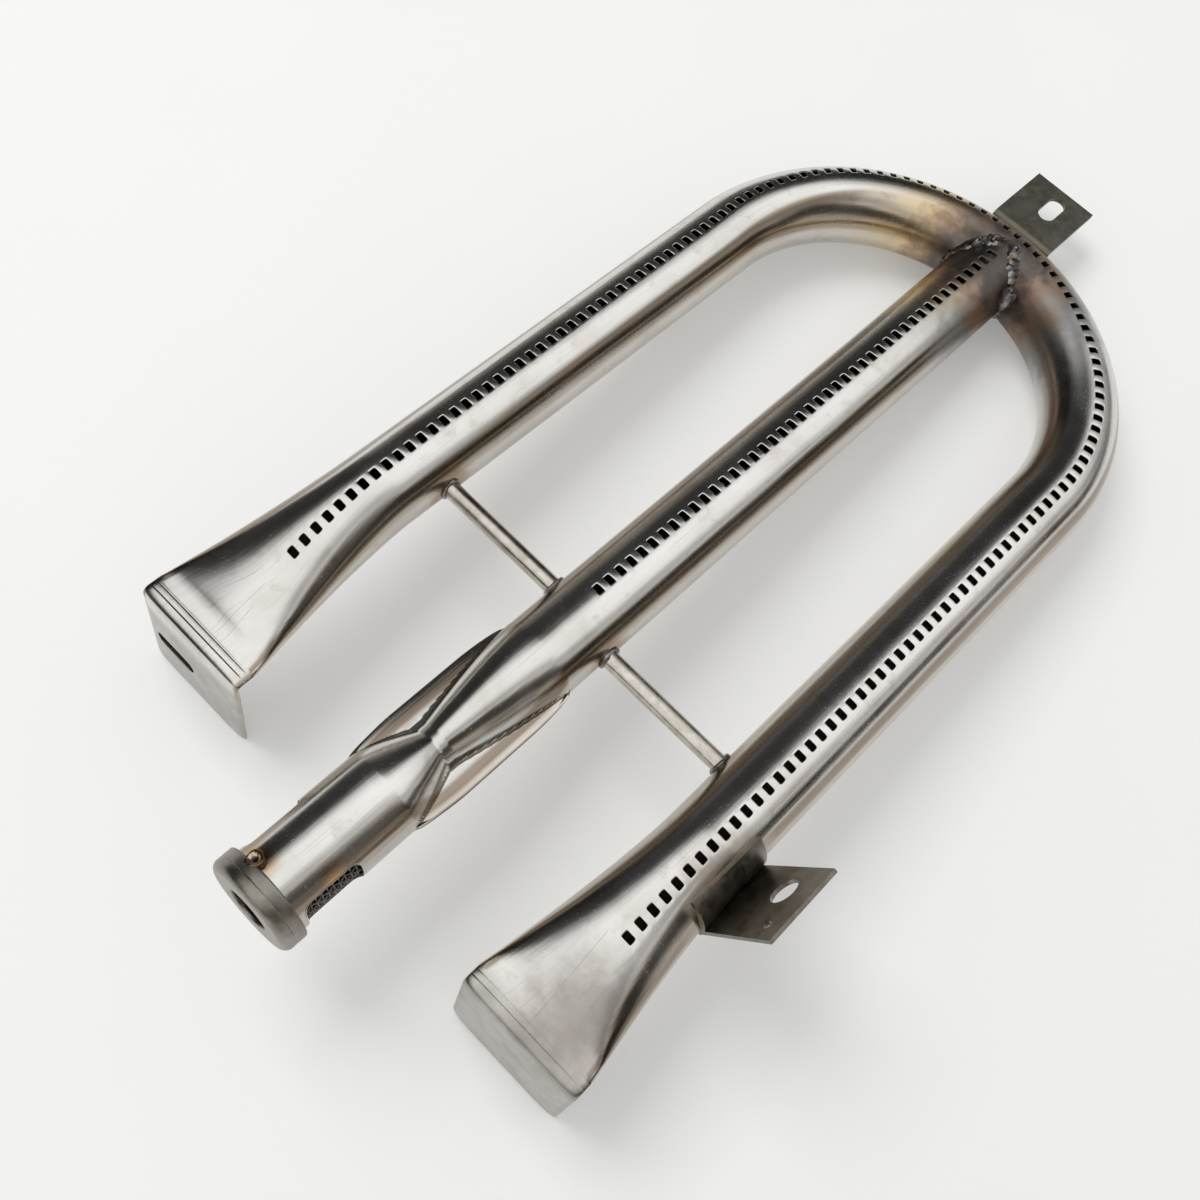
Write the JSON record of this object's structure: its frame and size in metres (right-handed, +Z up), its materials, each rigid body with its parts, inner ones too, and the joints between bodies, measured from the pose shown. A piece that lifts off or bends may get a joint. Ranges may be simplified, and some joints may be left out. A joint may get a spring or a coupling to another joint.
{
  "type": "tube gas burner",
  "caption": "Tubular steel gas grill burner: U-shaped outer tube with a centre feed tube, rows of flame ports, pinched venturi and mounting tabs.",
  "frame": {"origin": "centre of the gas inlet hole, on the front face of the inlet cap", "axes": "+X across the legs to the side that carries the side bracket, +Y along the centre tube from the inlet to the bend, +Z up out of the flame ports"},
  "size_m": [0.1842, 0.3675, 0.0715],
  "materials": {
    "tube": "satin stainless, heat-tinted round the joint",
    "cap": "matte pressed steel",
    "bracket": "dull sheet steel",
    "bar": "satin",
    "wire": "bright wire",
    "weld": "rough, heat-blued"
  },
  "bodies": {
    "root": {"outer_tube": "tube", "centre_tube": "tube", "inlet_cap": "cap", "inlet_cap_weld": "weld", "air_screen": "wire", "crossbar_left": "bar", "crossbar_right": "bar", "crossbar_welds": "weld", "rear_bracket": "bracket", "rear_bracket_welds": "weld", "side_bracket": "bracket", "tee_weld_left": "weld", "tee_weld_right": "weld"}
  },
  "joints": []
}
